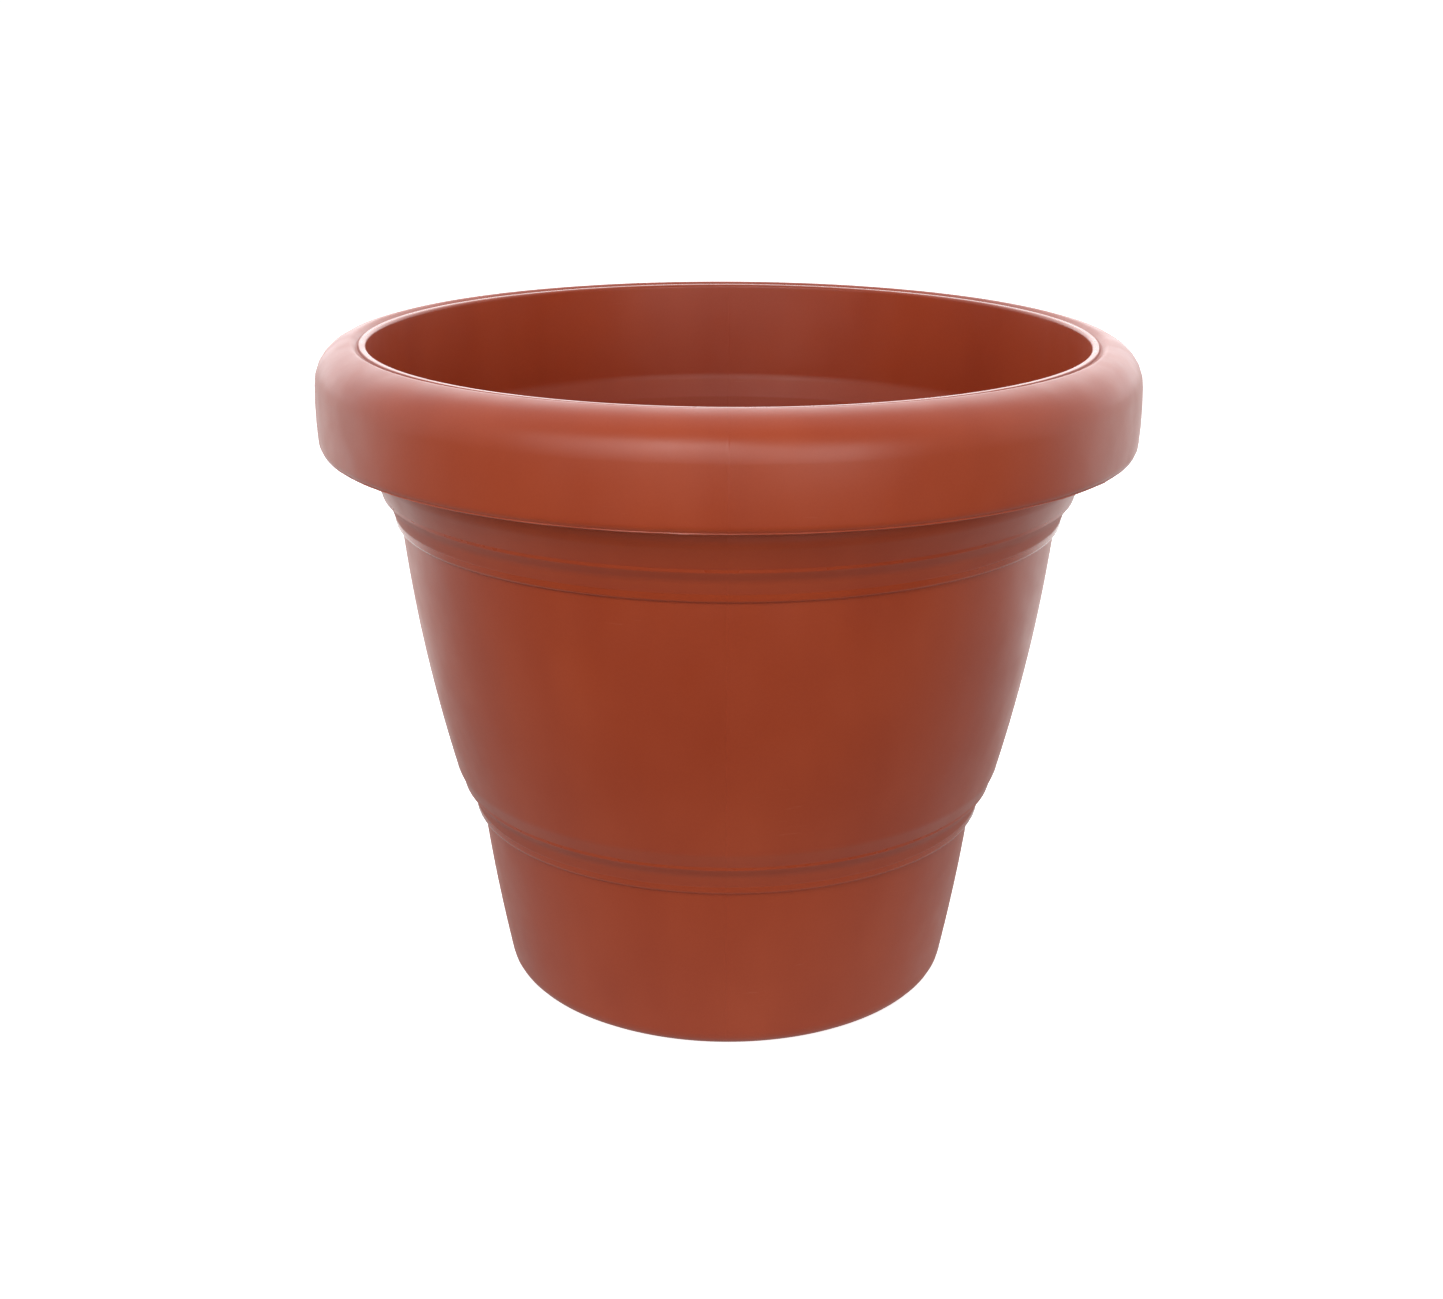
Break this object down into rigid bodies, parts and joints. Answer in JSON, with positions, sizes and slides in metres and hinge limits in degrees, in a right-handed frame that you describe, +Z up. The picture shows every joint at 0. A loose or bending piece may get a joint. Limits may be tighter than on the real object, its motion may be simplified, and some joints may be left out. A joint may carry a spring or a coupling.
{
  "type": "planter",
  "caption": "Round tapered planter in terracotta-coloured plastic with a hollow rolled rim, moulded rings, a pushed-up floor and lift-out drain stoppers.",
  "frame": {"origin": "centre of the foot, on the ground", "axes": "+Z up along the pot's axis, out of the mouth; -Y is the front, where the mould's parting line meets the foot"},
  "size_m": [0.3999, 0.4, 0.3297],
  "materials": {
    "moulded_plastic": "satin, with glossy moulded rings",
    "stopper_rubber": "matte"
  },
  "bodies": {
    "pot": {"pot_shell": "moulded_plastic"},
    "plug_front_right": {"drain_plug_front_right": "stopper_rubber"},
    "plug_back_right": {"drain_plug_back_right": "stopper_rubber"},
    "plug_back_left": {"drain_plug_back_left": "stopper_rubber"},
    "plug_front_left": {"drain_plug_front_left": "stopper_rubber"}
  },
  "joints": [
    {"name": "lift_plug_front_right", "type": "slide", "parent": "pot", "child": "plug_front_right", "axis": [0, 0, 1], "range_m": [0, 0.335]},
    {"name": "lift_plug_back_right", "type": "slide", "parent": "pot", "child": "plug_back_right", "axis": [0, 0, 1], "range_m": [0, 0.335]},
    {"name": "lift_plug_back_left", "type": "slide", "parent": "pot", "child": "plug_back_left", "axis": [0, 0, 1], "range_m": [0, 0.335]},
    {"name": "lift_plug_front_left", "type": "slide", "parent": "pot", "child": "plug_front_left", "axis": [0, 0, 1], "range_m": [0, 0.335]}
  ]
}
